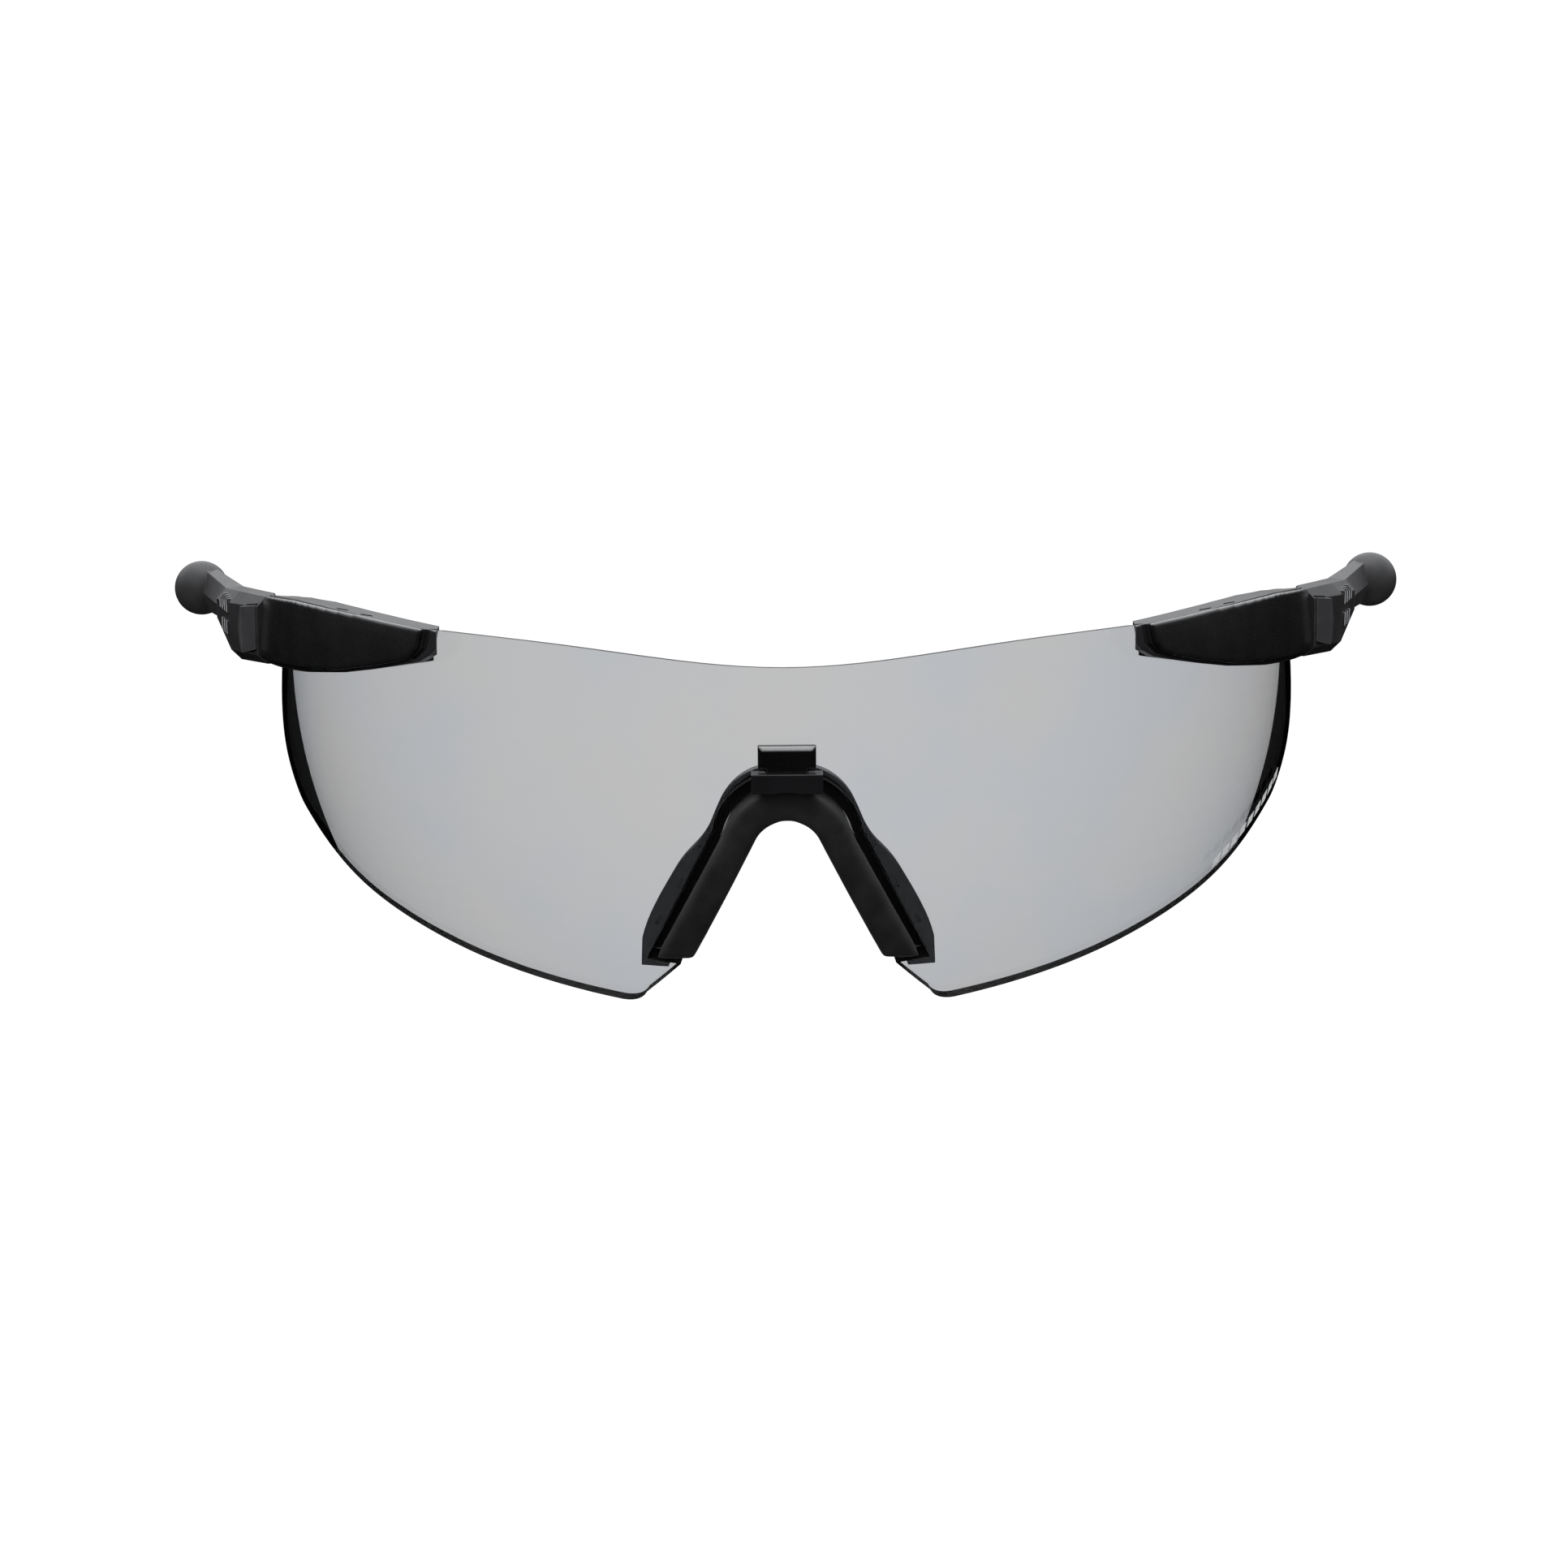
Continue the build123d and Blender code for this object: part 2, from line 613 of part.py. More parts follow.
FLANGE_INNER = ((14.6, -26.2), (7.1, -8.9), (4.75, -5.0), (2.5, -3.55), (0, -3.15))


def half_ring(outer, inner):
    """Closed outline across the middle: an outer half run, then an inner one that ends on the middle."""
    arch = symmetric(outer[:-1])
    tip = [(outer[-2], outer[-1]), (outer[-1], inner[0]), (inner[0], inner[1])]
    inner_arch = flipped(symmetric(tuple(reversed(inner[1:]))))
    return [arch, *tip, inner_arch, *[flipped(run) for run in reversed(tip)]]


def box(half_width, depths, heights):
    """Block across the middle between two depths and two heights."""
    with BuildPart() as block:
        with Locations((0, sum(depths) / 2, sum(heights) / 2)):
            Box(2 * half_width, depths[1] - depths[0], heights[1] - heights[0])
    return block.part


def cross_rod(radius, half_length):
    """Rod from side to side on the clip's pivot line."""
    with BuildPart() as rod:
        with BuildSketch(Plane(origin=(-half_length, *CLIP_PIVOT), z_dir=(1, 0, 0))):
            Circle(radius)
        extrude(amount=2 * half_length)
    return rod.part


def make_nose_pad():
    """Soft saddle that lies on the nose, bevelled at the front, hollow for its core."""
    with BuildPart() as pad:
        add(shell_piece(half_ring(PAD_OUTER, PAD_INNER), PAD_BACK_R, PAD_FRONT_R))
        front = pad.faces().sort_by(Axis.Y)[0]
        chamfer(front.edges(), PAD_BEVEL)
        add(make_pad_core(), mode=Mode.SUBTRACT)
    return pad.part


def make_pad_core():
    """Stiff arch moulded into the pad."""
    return shell_piece(half_ring(CORE_OUTER, CORE_INNER), *CORE_R)


def make_nose_bracket():
    """Rim that lines the lens notch, with wings behind the lens and a bridge block ahead of it."""
    half_width, depths, heights = BRIDGE
    with BuildPart() as bracket:
        add(shell_piece(half_ring(FLANGE_OUTER, FLANGE_INNER), *FLANGE_R))
        add(shell_piece(half_ring(RIM_OUTER, RIM_INNER), FLANGE_R[0], RIM_FRONT_R))
        add(box(half_width, depths, heights))
        add(box(*BRIDGE_TIE))
        slot_heights = (CLIP_PIVOT[1] - 1, 0)
        add(box(CLIP_LEG_HALF + CLIP_PLAY, BRIDGE_SLOT_DEPTHS, slot_heights), mode=Mode.SUBTRACT)
        add(cross_rod(CLIP_PIN_R, half_width - 0.4), mode=Mode.SUBTRACT)
        add(radial_cone(half_ring(PAD_OUTER, PAD_INNER)), mode=Mode.SUBTRACT)
        for azimuth, elevation in FLANGE_SLOTS:
            for side in (1, -1):
                middle = on_sphere(side * azimuth, elevation, FLANGE_R[1] - SLOT_DEPTH)
                with BuildSketch(Plane(origin=middle, x_dir=bearing(side * azimuth)[1], z_dir=middle)):
                    Rectangle(*SLOT_SIZE, rotation=side * SLOT_LEAN)
                extrude(amount=2 * SLOT_DEPTH, mode=Mode.SUBTRACT)
    return bracket.part


def make_nose_clip():
    """Hooked tab that laps over the front of the lens and turns on a pin in the bridge block."""
    _, depths, heights = CLIP_HEAD
    with BuildPart() as clip:
        add(box(*CLIP_HEAD))
        chamfer(clip.faces().sort_by(Axis.Y)[0].edges(), CLIP_BEVEL)
        leg_depths = (CLIP_PIVOT[0] - CLIP_LEG_T / 2, CLIP_PIVOT[0] + CLIP_LEG_T / 2)
        add(box(CLIP_LEG_HALF, leg_depths, (CLIP_PIVOT[1], heights[0] + 0.5)))
        add(cross_rod(CLIP_KNUCKLE_R, CLIP_LEG_HALF))
        add(cross_rod(CLIP_PIN_R + RUN_PLAY, CLIP_LEG_HALF + 1), mode=Mode.SUBTRACT)
    return clip.part


write(make_lens(), "lens")
write_pair(make_pod_body(), "pod_body")
write_pair(make_pod_cover(), "pod_cover")
write_pair(rods(COVER_PIN_SPOTS, *COVER_PIN_END_R, COVER_PIN_R), "cover_pins")
write_pair(rods(MAGNET_SPOTS, *POD_MAGNET_R, MAGNET_R), "pod_magnets")
write_pair(rods(MAGNET_SPOTS, *LENS_MAGNET_R, MAGNET_R), "lens_magnets")
write_pair(hinge_lug(LUG_Z[0][0], LUG_Z[1][1], PIN_R, 0), "hinge_pin")
write_pair(make_hinge_block(), "hinge_block")
write_pair(make_button(), "button")
write_pair(make_spring(), "button_spring")
write_pair(make_latch(), "latch")
write_pair(make_ball_stud(), "ball_stud")
write(make_nose_bracket(), "nose_bracket")
write(make_nose_pad(), "nose_pad")
write(make_pad_core(), "nose_pad_core")
write(make_nose_clip(), "nose_clip")
write(cross_rod(CLIP_PIN_R, BRIDGE[0] - 0.4), "nose_clip_pin")
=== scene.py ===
import json
import math

import bpy
from mathutils import Matrix, Vector


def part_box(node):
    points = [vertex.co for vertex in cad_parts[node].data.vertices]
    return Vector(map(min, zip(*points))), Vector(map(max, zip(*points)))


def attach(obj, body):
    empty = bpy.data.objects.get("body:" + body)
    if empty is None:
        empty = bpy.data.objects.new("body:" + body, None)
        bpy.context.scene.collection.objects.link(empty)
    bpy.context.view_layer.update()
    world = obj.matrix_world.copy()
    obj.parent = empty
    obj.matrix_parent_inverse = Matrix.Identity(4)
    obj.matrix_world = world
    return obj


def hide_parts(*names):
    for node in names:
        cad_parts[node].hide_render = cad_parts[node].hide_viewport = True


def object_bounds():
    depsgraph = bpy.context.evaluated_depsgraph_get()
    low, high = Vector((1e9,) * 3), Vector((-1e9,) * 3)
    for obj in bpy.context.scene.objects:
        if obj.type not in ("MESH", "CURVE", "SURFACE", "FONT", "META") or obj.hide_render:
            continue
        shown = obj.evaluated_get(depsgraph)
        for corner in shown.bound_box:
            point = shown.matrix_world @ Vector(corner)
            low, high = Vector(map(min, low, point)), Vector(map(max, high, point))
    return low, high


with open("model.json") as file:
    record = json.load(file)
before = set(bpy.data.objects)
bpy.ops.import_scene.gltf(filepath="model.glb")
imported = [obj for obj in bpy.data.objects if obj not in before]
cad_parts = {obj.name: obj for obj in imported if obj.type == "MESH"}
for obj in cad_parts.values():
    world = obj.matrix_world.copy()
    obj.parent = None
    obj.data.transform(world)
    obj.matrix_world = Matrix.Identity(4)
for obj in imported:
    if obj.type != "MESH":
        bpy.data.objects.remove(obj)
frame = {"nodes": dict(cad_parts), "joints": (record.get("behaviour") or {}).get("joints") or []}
CAD_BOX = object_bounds()
NODES = frame["nodes"]
SIDES = ("left", "right")
MM = 0.001


def joint(name):
    """The record's joint of that name."""
    return next(j for j in frame["joints"] if j["name"] == name)


# Camera: ahead of the lens, a little above, with a small roll
VIEW_DISTANCE = 0.9
VIEW_ELEVATION = math.radians(12)
VIEW_ROLL = math.radians(-0.43)
AIM_BELOW_CENTRE = 0.0184
AIM_ASIDE = 0.0004
FOCAL_MM = 160.5
CLIP_START = 0.05

# The pods turn about the centre of the lens sphere, so that joint gives it
LENS_CENTRE = Vector(joint("pod_release_left")["pos_m"])
LENS_R = LENS_CENTRE.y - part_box("lens")[0].y
LENS_THICKNESS = 2.2 * MM
MIDDLE_R = LENS_R - LENS_THICKNESS / 2

# Painted shade at the lens sides, black where the lens's bending of light darkens it: what lies further than
# this angle from an axis that leans up as the camera does
SIDE_SHADE_AXIS = (0.0, -math.cos(VIEW_ELEVATION), math.sin(VIEW_ELEVATION))
SIDE_SHADE_ANGLE = math.radians(71.4)
SIDE_SHADE_BLACK = (0.003, 0.003, 0.003, 1.0)

# Cut edges of the lens: faces whose normal has less than this along the radius
CUT_EDGE_FACING = 0.5

# Room
FLOOR_DROP = 0.12
FLOOR_HALF = 3.0
WHITE = (1.0, 1.0, 1.0, 1.0)
FILL_LOW = (0.2, 0.2, 0.2, 1.0)
FILL_HIGH = (1.25, 1.26, 1.28, 1.0)
FILL_RANGE = (-0.6, 0.8)
DOME_STRENGTH = 4.2
DOME_ABOVE = 0.85
DOME_BEHIND = 0.22
DOME_HORIZON = (0.0, 0.14)
DOME_RANGE = (0.05, 1.0)
DOME_LOW = (0.0003, 0.0003, 0.0003, 1.0)
DOME_HIGH = (0.97, 0.98, 1.0, 1.0)

# Soft boxes: name, place from the lens centre, size in metres, watts
SOFT_BOXES = (
    ("top_box", (0, 0.1, 0.9), 0.7, 5.0),
    ("front_box", (-0.5, -0.9, 0.7), 0.35, 0.8),
)

# Smoke tint: what each metre of lens plastic swallows
TINT = (0.02, 0.03, 0.05, 1.0)
TINT_PER_METRE = 285.0
LENS_IOR = 1.58

# Printed dashes near the lower edge on the +X side: azimuth and elevation in degrees of the first and last.
# Sizes are in millimetres; the lean is a share of the height, and the gap keeps the ink clear of the lens.
PRINT_FROM = (59.2, -19.1)
PRINT_TO = (73.4, -12.2)
PRINT_COUNT = 9
PRINT_SIZE = (1.6, 1.25)
PRINT_LEAN = 0.35
PRINT_GAP = 0.008
PRINT_TOP = 0.03
SQUARE = ((-1, -1), (1, -1), (1, 1), (-1, 1))
BAR_FACES = ((0, 3, 2, 1), (4, 5, 6, 7), (0, 1, 5, 4), (1, 2, 6, 5), (2, 3, 7, 6), (3, 0, 4, 7))

# Raised bars on the hinge blocks: range of distances from the ball, how squarely their faces look outwards,
# and how far below the highest face still counts
MARKS_FROM_BALL = (14.3 * MM, 18.8 * MM)
MARK_FACING = 0.98
MARK_STEP = 0.1 * MM

# Edges of moulded parts, which get a painted highlight and some polish: radius in millimetres, and how far
# the rounded normal turns from the flat one
EDGE_RADIUS = 0.18
EDGE_TURN = (0.995, 0.86)

# Rounding of moulded corners: voxel size in millimetres and number of smoothing steps
PAD_ROUNDING = (0.28, 18)
CLIP_ROUNDING = (0.12, 5)
COVER_ROUNDING = (0.16, 22)


# ---------------------------------------------------------------- shader helpers
def new_material(name):
    """Empty node material with a Principled shader wired to its output."""
    material = bpy.data.materials.new(name)
    material.use_nodes = True
    tree = material.node_tree
    tree.nodes.clear()
    output = tree.nodes.new("ShaderNodeOutputMaterial")
    shader = tree.nodes.new("ShaderNodeBsdfPrincipled")
    tree.links.new(shader.outputs[0], output.inputs["Surface"])
    return material, tree, shader


def object_point(tree, stretch=(1, 1, 1)):
    """Object coordinates in millimetres, stretched along each axis."""
    coordinates = tree.nodes.new("ShaderNodeTexCoord")
    mapping = tree.nodes.new("ShaderNodeMapping")
    mapping.inputs["Scale"].default_value = [s / MM for s in stretch]
    tree.links.new(coordinates.outputs["Object"], mapping.inputs["Vector"])
    return mapping.outputs[0]


def noise(tree, point, scale, detail=4.0, roughness=0.55):
    """Fractal noise, with scale in cycles per millimetre."""
    texture = tree.nodes.new("ShaderNodeTexNoise")
    texture.inputs["Scale"].default_value = scale
    texture.inputs["Detail"].default_value = detail
    texture.inputs["Roughness"].default_value = roughness
    tree.links.new(point, texture.inputs["Vector"])
    return texture.outputs["Fac"]


def spread(tree, value, low, high, into=(0.0, 1.0)):
    """Map a value's range onto another, clamped."""
    node = tree.nodes.new("ShaderNodeMapRange")
    node.inputs["From Min"].default_value = low
    node.inputs["From Max"].default_value = high
    node.inputs["To Min"].default_value = into[0]
    node.inputs["To Max"].default_value = into[1]
    tree.links.new(value, node.inputs["Value"])
    return node.outputs[0]


def math_node(tree, operation, first, second):
    """Arithmetic on two values, each a socket or a number."""
    node = tree.nodes.new("ShaderNodeMath")
    node.operation = operation
    for socket, value in zip(node.inputs, (first, second)):
        if isinstance(value, (int, float)):
            socket.default_value = value
        else:
            tree.links.new(value, socket)
    return node.outputs[0]


def mix_colour(tree, factor, first, second):
    """Mix two colours, each a socket or a tuple."""
    node = tree.nodes.new("ShaderNodeMix")
    node.data_type = "RGBA"
    tree.links.new(factor, node.inputs["Factor"])
    for name, value in (("A", first), ("B", second)):
        socket = next(s for s in node.inputs if s.name == name and s.type == "RGBA")
        if isinstance(value, tuple):
            socket.default_value = value
        else:
            tree.links.new(value, socket)
    return next(s for s in node.outputs if s.type == "RGBA")


def bump(tree, height, depth_mm, strength=1.0, normal=None):
    """Bump from a height in the range 0 to 1."""
    node = tree.nodes.new("ShaderNodeBump")
    node.inputs["Strength"].default_value = strength
    node.inputs["Distance"].default_value = depth_mm * MM
    tree.links.new(height, node.inputs["Height"])
    if normal is not None:
        tree.links.new(normal, node.inputs["Normal"])
    return node.outputs[0]


def rounded_normal(tree):
    """Normal that rolls smoothly over sharp edges."""
    node = tree.nodes.new("ShaderNodeBevel")
    node.samples = 4
    node.inputs["Radius"].default_value = EDGE_RADIUS * MM
    return node.outputs[0]


def vector_math(tree, operation, first, second=None):
    """Vector arithmetic on a socket and, if given, a second socket or vector; returns the node."""
    node = tree.nodes.new("ShaderNodeVectorMath")
    node.operation = operation
    tree.links.new(first, node.inputs[0])
    if isinstance(second, tuple):
        node.inputs[1].default_value = second
    elif second is not None:
        tree.links.new(second, node.inputs[1])
    return node


def edge_mask(tree, soft_normal):
    """One on sharp edges, nought on open faces."""
    normal = tree.nodes.new("ShaderNodeNewGeometry").outputs["Normal"]
    turn = vector_math(tree, "DOT_PRODUCT", normal, soft_normal).outputs["Value"]
    return spread(tree, turn, *EDGE_TURN)


def shade(colour, factor, lift=0.0):
    """A colour made darker or paler, with full alpha."""
    return tuple(c * factor + lift for c in colour) + (1.0,)


# ---------------------------------------------------------------- materials
def moulded(name, colour, roughness, grain_per_mm=5.0, grain_mm=0.012, wear_and_highlight=0.35, gloss=0.5):
    """Injection-moulded plastic: fine spark grain, faint flow blotches, polished edges, and paler edges that
    are a painted highlight.
    """
    material, tree, shader = new_material(name)
    point = object_point(tree)
    soft = rounded_normal(tree)
    edges = edge_mask(tree, soft)
    blotches = noise(tree, point, 0.25, detail=5.0)
    grain = noise(tree, point, grain_per_mm, detail=3.0)
    # Edge mask: real polish in the roughness, and a painted highlight in the colour
    rubbed_and_highlit = math_node(tree, "MULTIPLY", edges, spread(tree, blotches, 0.35, 0.6, (0.3 * wear_and_highlight, wear_and_highlight)))
    body = mix_colour(tree, spread(tree, blotches, 0.35, 0.65), shade(colour, 0.82), shade(colour, 1.22))
    # Painted highlight: the edges made much paler than the body
    body_with_painted_highlight = mix_colour(tree, rubbed_and_highlit, body, shade(colour, 3.0, 0.04))
    tree.links.new(body_with_painted_highlight, shader.inputs["Base Color"])
    rough = spread(tree, grain, 0.3, 0.7, (roughness - 0.05, roughness + 0.06))
    polished = math_node(tree, "SUBTRACT", rough, math_node(tree, "MULTIPLY", rubbed_and_highlit, 0.15))
    tree.links.new(polished, shader.inputs["Roughness"])
    tree.links.new(bump(tree, grain, grain_mm, 0.35, soft), shader.inputs["Normal"])
    shader.inputs["Specular IOR Level"].default_value = gloss
    return material


def metal(name, colour, roughness, stretch):
    """Drawn or plated metal with fine lines along one way and small tarnish spots."""
    material, tree, shader = new_material(name)
    lines = noise(tree, object_point(tree, stretch), 6.0, detail=5.0)
    spots = noise(tree, object_point(tree), 0.8, detail=6.0)
    tarnished = mix_colour(tree, spread(tree, spots, 0.55, 0.72), shade(colour, 1.0), shade(colour, 0.6))
    tree.links.new(tarnished, shader.inputs["Base Color"])
    rough = spread(tree, lines, 0.3, 0.7, (roughness - 0.08, roughness + 0.1))
    tree.links.new(rough, shader.inputs["Roughness"])
    tree.links.new(bump(tree, lines, 0.01, 0.3), shader.inputs["Normal"])
    shader.inputs["Metallic"].default_value = 1.0
    return material


def soft_rubber(name, colour):
    """Matt silicone rubber with a fine pebble and dusty blotches."""
    material, tree, shader = new_material(name)
    point = object_point(tree)
    pebble = noise(tree, point, 7.0, detail=2.0, roughness=0.4)
    dust = noise(tree, point, 0.35, detail=6.0)
    dusty = mix_colour(tree, spread(tree, dust, 0.4, 0.7), shade(colour, 1.0), shade(colour, 1.3, 0.001))
    tree.links.new(dusty, shader.inputs["Base Color"])
    tree.links.new(spread(tree, dust, 0.35, 0.65, (0.55, 0.72)), shader.inputs["Roughness"])
    tree.links.new(bump(tree, pebble, 0.02, 0.4), shader.inputs["Normal"])
    shader.inputs["Sheen Weight"].default_value = 0.15
    shader.inputs["Sheen Roughness"].default_value = 0.4
    return material


def painted_side_shade(tree):
    """Painted shade mask: one on the inner half of the lens outside a circle about the axis that leans with
    the camera, nought elsewhere.
    """
    place = tree.nodes.new("ShaderNodeTexCoord").outputs["Object"]
    from_centre = vector_math(tree, "SUBTRACT", place, tuple(LENS_CENTRE)).outputs[0]
    radius = vector_math(tree, "LENGTH", from_centre).outputs["Value"]
    way = vector_math(tree, "NORMALIZE", from_centre).outputs[0]
    forwardness = vector_math(tree, "DOT_PRODUCT", way, SIDE_SHADE_AXIS).outputs["Value"]
    painted_shade = math_node(tree, "LESS_THAN", forwardness, math.cos(SIDE_SHADE_ANGLE))
    inside = math_node(tree, "LESS_THAN", radius, MIDDLE_R)
    return math_node(tree, "MULTIPLY", painted_shade, inside)


def smoke_lens(name):
    """Grey tinted polycarbonate, faintly cloudy, with a hard-coat ripple and painted black shade along the
    sides of its inner face.
    """
    material, tree, shader = new_material(name)
    cloud = noise(tree, object_point(tree), 0.045, detail=3.0)
    warm = (0.985, 0.98, 0.97, 1.0)
    cool = (0.94, 0.965, 1.0, 1.0)
    clear = mix_colour(tree, spread(tree, cloud, 0.4, 0.62), warm, cool)
    painted_shade = painted_side_shade(tree)
    # Painted shade: black and not see-through near the sides, where the lens's bending of light darkens it
    tree.links.new(mix_colour(tree, painted_shade, clear, SIDE_SHADE_BLACK), shader.inputs["Base Color"])
    tree.links.new(math_node(tree, "SUBTRACT", 1.0, painted_shade), shader.inputs["Transmission Weight"])
    tint = tree.nodes.new("ShaderNodeVolumeAbsorption")
    tint.inputs["Color"].default_value = TINT
    tint.inputs["Density"].default_value = TINT_PER_METRE
    output = next(node for node in tree.nodes if node.type == "OUTPUT_MATERIAL")
    tree.links.new(tint.outputs[0], output.inputs["Volume"])
    ripple = noise(tree, object_point(tree), 0.06, detail=1.0)
    tree.links.new(bump(tree, ripple, 0.01, 0.15), shader.inputs["Normal"])
    tree.links.new(spread(tree, cloud, 0.3, 0.7, (0.0, 0.012)), shader.inputs["Roughness"])
    shader.inputs["IOR"].default_value = LENS_IOR
    return material


def dark_edge(name):
    """Blackened cut edge of the lens, slightly scored by the cutter."""
    material, tree, shader = new_material(name)
    score = noise(tree, object_point(tree, (1, 1, 6)), 1.2, detail=4.0)
    black, grey = (0.004, 0.004, 0.004, 1.0), (0.012, 0.012, 0.013, 1.0)
    scored = mix_colour(tree, spread(tree, score, 0.35, 0.65), black, grey)
    tree.links.new(scored, shader.inputs["Base Color"])
    tree.links.new(spread(tree, score, 0.3, 0.7, (0.45, 0.65)), shader.inputs["Roughness"])
    tree.links.new(bump(tree, score, 0.01, 0.3), shader.inputs["Normal"])
    shader.inputs["Specular IOR Level"].default_value = 0.2
    return material


def print_ink(name):
    """Pad-printed pale ink, slightly broken at the edges of its film."""
    material, tree, shader = new_material(name)
    film = noise(tree, object_point(tree), 3.0, detail=4.0)
    thin, full = (0.78, 0.79, 0.8, 1.0), (0.92, 0.92, 0.92, 1.0)
    broken = mix_colour(tree, spread(tree, film, 0.35, 0.65), thin, full)
    tree.links.new(broken, shader.inputs["Base Color"])
    tree.links.new(spread(tree, film, 0.3, 0.7, (0.4, 0.6)), shader.inputs["Roughness"])
    tree.links.new(bump(tree, film, 0.004, 0.4), shader.inputs["Normal"])
    return material


# ---------------------------------------------------------------- finish every CAD piece
# Each plastic's edge setting gives both the polish on its edges and how pale their painted highlight is
FRAME_PLASTIC = moulded("frame_plastic", (0.007, 0.007, 0.008), 0.34)
COVER_PLASTIC = moulded(
    "cover_plastic", (0.006, 0.006, 0.0065), 0.22, grain_per_mm=8.0, grain_mm=0.0015, wear_and_highlight=0.8, gloss=1.0)
BLOCK_PLASTIC = moulded("block_plastic", (0.020, 0.020, 0.021), 0.42, wear_and_highlight=1.0, gloss=0.15)
STUD_PLASTIC = moulded("stud_plastic", (0.034, 0.034, 0.035), 0.42, wear_and_highlight=0.6, gloss=0.15)
BUTTON_PLASTIC = moulded(
    "button_plastic", (0.042, 0.042, 0.044), 0.36, grain_per_mm=8.0, grain_mm=0.006, wear_and_highlight=1.0, gloss=0.4)
CLIP_PLASTIC = moulded("clip_plastic", (0.003, 0.003, 0.0035), 0.22, wear_and_highlight=0.04, gloss=1.0)
PIN_STEEL = metal("pin_steel", (0.58, 0.58, 0.60), 0.32, (1, 1, 9))
NICKEL = metal("nickel", (0.66, 0.63, 0.58), 0.26, (1, 1, 1))
RUBBER = soft_rubber("pad_rubber", (0.0105, 0.0105, 0.011))
CORE_PLASTIC = moulded("core_plastic", (0.05, 0.05, 0.05), 0.5)
SMOKE = smoke_lens("smoke_lens")
EDGE = dark_edge("lens_edge")
INK = print_ink("print_ink")
MARK_PAINT = moulded("mark_paint", (0.36, 0.36, 0.37), 0.32, wear_and_highlight=0.1)

PAIR_FINISH = {
    "pod_body": FRAME_PLASTIC, "pod_cover": COVER_PLASTIC, "cover_pins": FRAME_PLASTIC, "pod_magnets": NICKEL,
    "lens_magnets": NICKEL, "hinge_pin": PIN_STEEL, "hinge_block": BLOCK_PLASTIC, "button": BUTTON_PLASTIC,
    "button_spring": PIN_STEEL, "latch": PIN_STEEL, "ball_stud": STUD_PLASTIC,
}
SINGLE_FINISH = {
    "lens": SMOKE, "nose_bracket": FRAME_PLASTIC, "nose_pad": RUBBER, "nose_pad_core": CORE_PLASTIC,
    "nose_clip": CLIP_PLASTIC, "nose_clip_pin": PIN_STEEL,
}


def finish_with(node_name, material):
    """Give a CAD node one material."""
    slots = NODES[node_name].data.materials
    slots.clear()
    slots.append(material)


def blacken_lens_edges():
    """Put the edge finish on the cut edges, the lens faces that run along its radius."""
    mesh = NODES["lens"].data
    mesh.materials.append(EDGE)
    for face in mesh.polygons:
        outward = (face.center - LENS_CENTRE).normalized()
        if abs(face.normal.dot(outward)) < CUT_EDGE_FACING:
            face.material_index = 1


def paint_marks(side):
    """Put pale paint on the raised bars, the faces that stand proud of the block's outer facet."""
    mesh = NODES[f"hinge_block_{side}"].data
    mesh.materials.append(MARK_PAINT)
    turn = joint(f"stud_turn_{side}")
    ball, axis = Vector(turn["pos_m"]), Vector(turn["axis"])
    outward = Vector((axis.y, -axis.x, 0)) * (1 if ball.x > 0 else -1)
    near, far = MARKS_FROM_BALL
    heights = {}
    for face in mesh.polygons:
        from_ball = face.center - ball
        if face.normal.dot(outward) > MARK_FACING and near < -from_ball.dot(axis) < far:
            heights[face.index] = from_ball.dot(face.normal)
    proud = max(heights.values()) - MARK_STEP
    for index, height in heights.items():
        if height > proud:
            mesh.polygons[index].material_index = 1


for name, material in SINGLE_FINISH.items():
    finish_with(name, material)
for name, material in PAIR_FINISH.items():
    for side in SIDES:
        finish_with(f"{name}_{side}", material)
blacken_lens_edges()
for side in SIDES:
    paint_marks(side)


# ---------------------------------------------------------------- rounded corners and added pieces
def new_piece(name, mesh, material, body, place=Matrix()):
    """Link a mesh as a piece of the given name, with one material, that moves with a body."""
    piece = bpy.data.objects.new(name, mesh)
    piece.matrix_world = place
    bpy.context.scene.collection.objects.link(piece)
    mesh.materials.clear()
    mesh.materials.append(material)
    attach(piece, body)
    return piece


def round_off(piece, voxel_mm, steps):
    """Rebuild a piece's skin in small voxels and smooth it, which rounds every corner."""
    remesh = piece.modifiers.new("remesh", "REMESH")
    remesh.mode = "VOXEL"
    remesh.voxel_size = voxel_mm * MM
    remesh.use_smooth_shade = True
    smooth = piece.modifiers.new("smooth", "SMOOTH")
    smooth.factor = 0.5
    smooth.iterations = steps


def soft_pad():
    """The nose pad with every corner rounded as moulded rubber is."""
    plain = NODES["nose_pad"]
    pad = new_piece("nose_pad_soft", plain.data.copy(), RUBBER, "nose", plain.matrix_world)
    round_off(pad, *PAD_ROUNDING)
    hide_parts("nose_pad")


def sphere_point(azimuth, elevation, radius):
    """Point about the lens centre, azimuth from straight ahead towards +X."""
    a, e = math.radians(azimuth), math.radians(elevation)
    way = Vector((math.sin(a) * math.cos(e), -math.cos(a) * math.cos(e), math.sin(e)))
    return LENS_CENTRE + way * radius


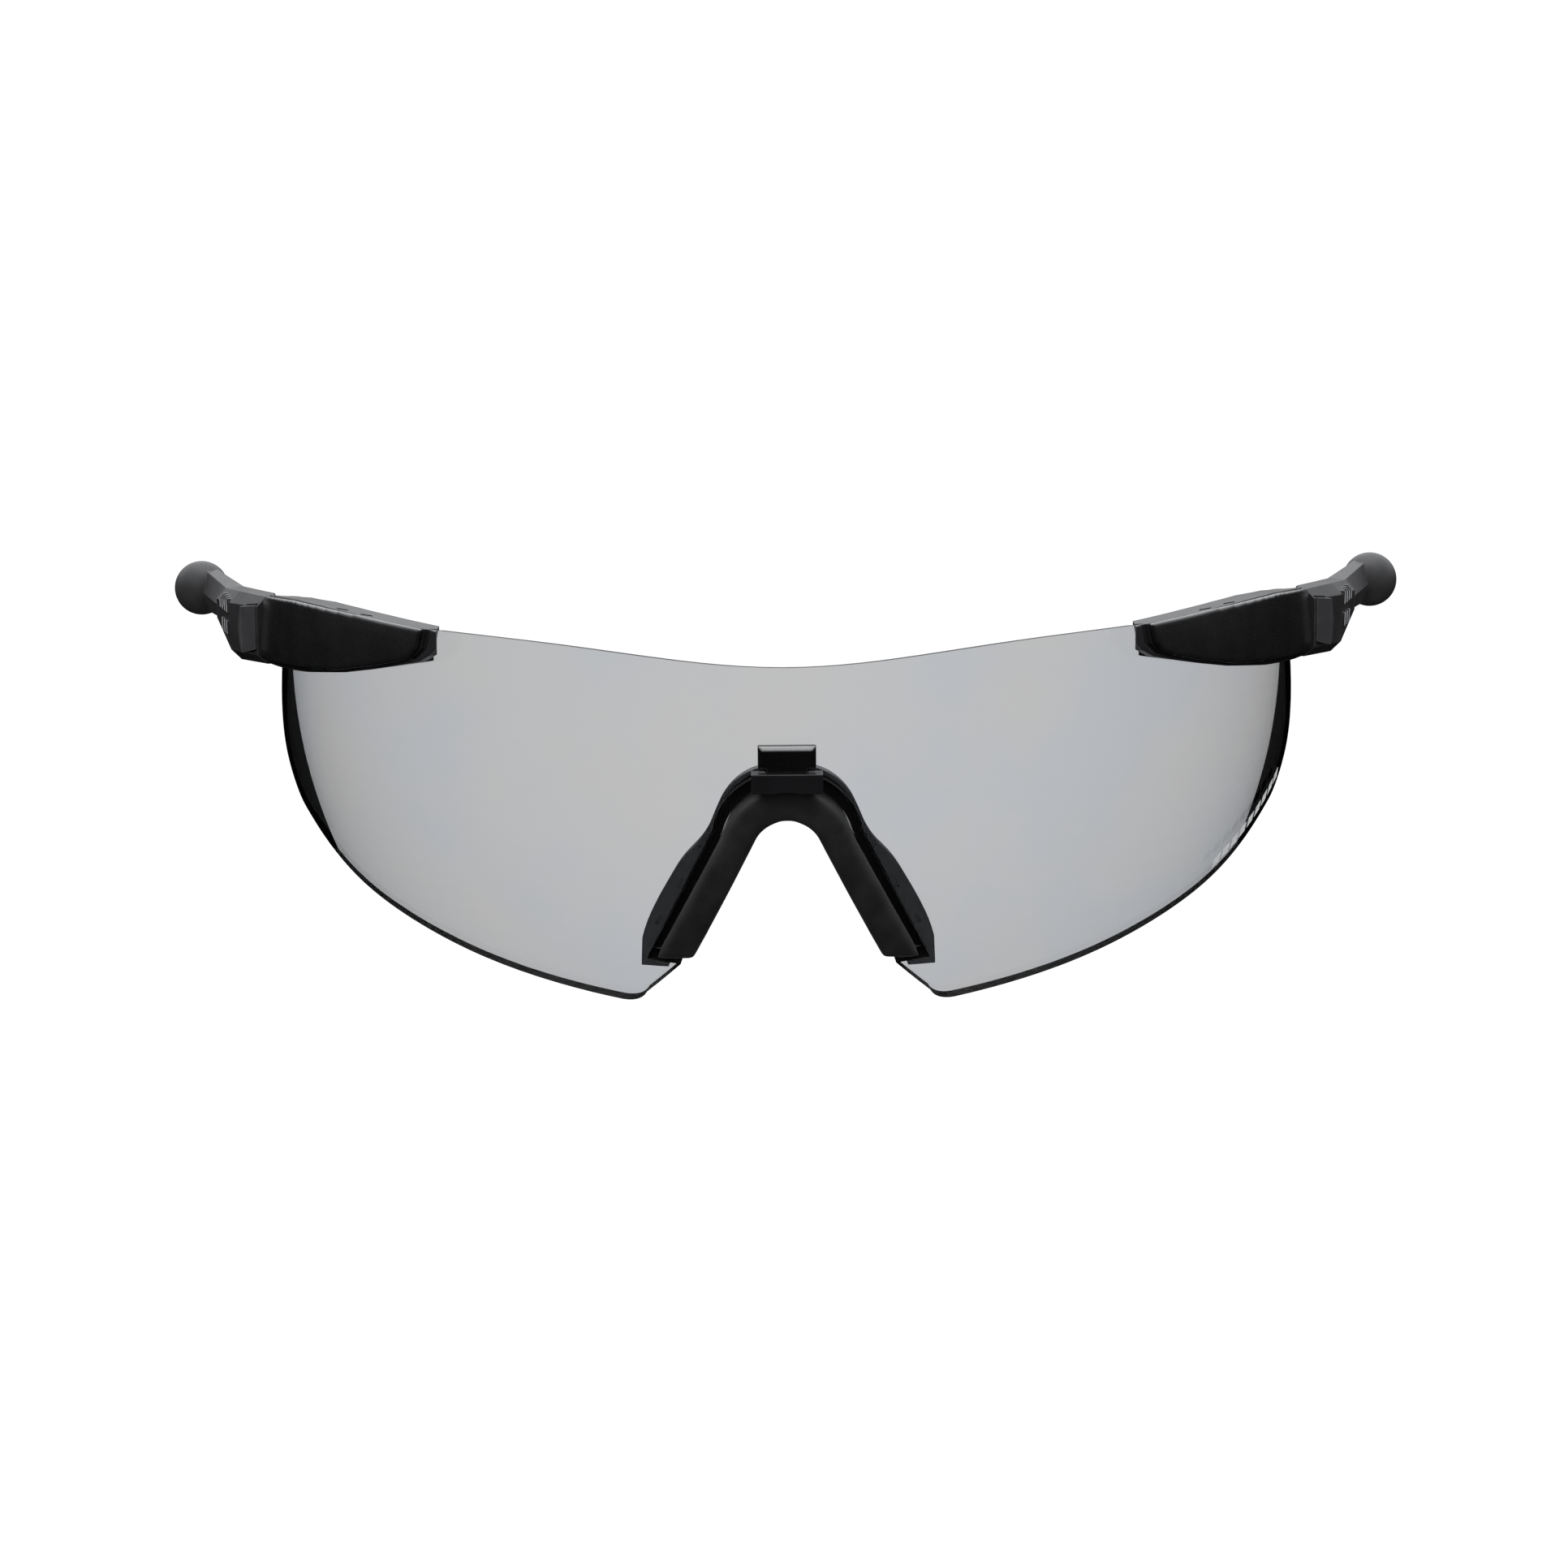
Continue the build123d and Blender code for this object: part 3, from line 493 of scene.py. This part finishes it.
def printed_dashes():
    """Row of small slanted bars of ink that follows the lens's lower edge."""
    start, end = sphere_point(*PRINT_FROM, LENS_R), sphere_point(*PRINT_TO, LENS_R)
    along = (end - start).normalized()
    width, height = PRINT_SIZE
    corners, faces = [], []
    for i in range(PRINT_COUNT):
        middle = start.lerp(end, i / (PRINT_COUNT - 1)) - LENS_CENTRE
        upward = middle.cross(along).normalized()
        lean = along * PRINT_LEAN * height
        base = len(corners)
        for lift in (PRINT_GAP, PRINT_TOP):
            for x, y in SQUARE:
                spot = middle + (along * x * width + (upward * height + lean) * y) * MM / 2
                corners.append(LENS_CENTRE + spot.normalized() * (LENS_R + lift * MM))
        faces += [[base + k for k in face] for face in BAR_FACES]
    mesh = bpy.data.meshes.new("lens_print")
    mesh.from_pydata(corners, [], faces)
    new_piece("lens_print", mesh, INK, "lens")


for side in SIDES:
    round_off(NODES[f"pod_cover_{side}"], *COVER_ROUNDING)
round_off(NODES["nose_clip"], *CLIP_ROUNDING)
soft_pad()
printed_dashes()


# ---------------------------------------------------------------- room, light and camera
def flat_square(name, half, height):
    """Level square face."""
    mesh = bpy.data.meshes.new(name)
    corners = [(x * half, y * half, height) for x, y in SQUARE]
    mesh.from_pydata(corners, [], [(0, 1, 2, 3)])
    square = bpy.data.objects.new(name, mesh)
    bpy.context.scene.collection.objects.link(square)
    return square


def floor_material():
    """Plain white floor, evenly lit from below like a light table."""
    material, tree, shader = new_material("floor_white")
    grain = noise(tree, object_point(tree), 0.02)
    dark, pale = (0.03, 0.03, 0.03, 1.0), (0.04, 0.04, 0.04, 1.0)
    tree.links.new(mix_colour(tree, grain, dark, pale), shader.inputs["Base Color"])
    shader.inputs["Roughness"].default_value = 0.9
    shader.inputs["Specular IOR Level"].default_value = 0.0
    shader.inputs["Emission Color"].default_value = WHITE
    shader.inputs["Emission Strength"].default_value = 1.0
    return material


def area_light(name, place, target, size, watts):
    """Square soft box that points at a target."""
    data = bpy.data.lights.new(name, "AREA")
    data.size = size
    data.energy = watts
    light = bpy.data.objects.new(name, data)
    light.location = place
    light.rotation_euler = (Vector(target) - Vector(place)).to_track_quat("-Z", "Y").to_euler()
    bpy.context.scene.collection.objects.link(light)


def gloss_dome(tree, way):
    """What gloss reflects: dark at the sides, bright above and faint behind."""
    above = math_node(tree, "MULTIPLY", way["Z"], DOME_ABOVE)
    aft = math_node(tree, "MULTIPLY", way["Y"], DOME_BEHIND)
    behind = math_node(tree, "MULTIPLY", aft, spread(tree, way["Z"], *DOME_HORIZON))
    height = spread(tree, math_node(tree, "ADD", above, behind), *DOME_RANGE)
    shine = vector_math(tree, "SCALE", mix_colour(tree, height, DOME_LOW, DOME_HIGH))
    shine.inputs["Scale"].default_value = DOME_STRENGTH
    return shine.outputs[0]


def matt_fill(tree, way):
    """What lights matt colour: a soft sky that darkens downwards."""
    return mix_colour(tree, spread(tree, way["Z"], *FILL_RANGE), FILL_LOW, FILL_HIGH)


def studio_world():
    """White all round to look at, with its own light for gloss and for matt colour."""
    world = bpy.data.worlds.new("studio")
    bpy.context.scene.world = world
    world.use_nodes = True
    tree = world.node_tree
    tree.nodes.clear()
    output = tree.nodes.new("ShaderNodeOutputWorld")
    seen = tree.nodes.new("ShaderNodeBackground")
    dome = tree.nodes.new("ShaderNodeBackground")
    choose = tree.nodes.new("ShaderNodeMixShader")
    path = tree.nodes.new("ShaderNodeLightPath")
    direction = tree.nodes.new("ShaderNodeTexCoord")
    parts = tree.nodes.new("ShaderNodeSeparateXYZ")
    tree.links.new(direction.outputs["Generated"], parts.inputs[0])
    way = parts.outputs
    lit = mix_colour(tree, path.outputs["Is Diffuse Ray"], gloss_dome(tree, way), matt_fill(tree, way))
    tree.links.new(lit, dome.inputs["Color"])
    seen.inputs["Color"].default_value = WHITE
    looks = math_node(tree, "MAXIMUM", path.outputs["Is Camera Ray"], path.outputs["Is Transmission Ray"])
    tree.links.new(looks, choose.inputs["Fac"])
    tree.links.new(dome.outputs[0], choose.inputs[1])
    tree.links.new(seen.outputs[0], choose.inputs[2])
    tree.links.new(choose.outputs[0], output.inputs["Surface"])


def add_camera():
    """Camera ahead of and above the lens, rolled slightly."""
    forward = Vector((0, math.cos(VIEW_ELEVATION), -math.sin(VIEW_ELEVATION)))
    up = Vector((0, math.sin(VIEW_ELEVATION), math.cos(VIEW_ELEVATION)))
    place = LENS_CENTRE - forward * VIEW_DISTANCE
    aim = LENS_CENTRE - up * AIM_BELOW_CENTRE - Vector((AIM_ASIDE, 0, 0))
    data = bpy.data.cameras.new("camera")
    data.lens = FOCAL_MM
    data.clip_start = CLIP_START
    camera = bpy.data.objects.new("camera", data)
    turn = (aim - place).to_track_quat("-Z", "Y").to_matrix().to_4x4()
    camera.matrix_world = Matrix.Translation(place) @ turn @ Matrix.Rotation(VIEW_ROLL, 4, "Z")
    bpy.context.scene.collection.objects.link(camera)
    bpy.context.scene.camera = camera


floor = flat_square("floor", FLOOR_HALF, CAD_BOX[0][2] - FLOOR_DROP)
floor.data.materials.append(floor_material())
floor.visible_glossy = False
floor.visible_diffuse = False
studio_world()
for name, place, size, watts in SOFT_BOXES:
    area_light(name, LENS_CENTRE + Vector(place), LENS_CENTRE, size, watts)
add_camera()
bpy.context.scene.view_settings.view_transform = "Standard"
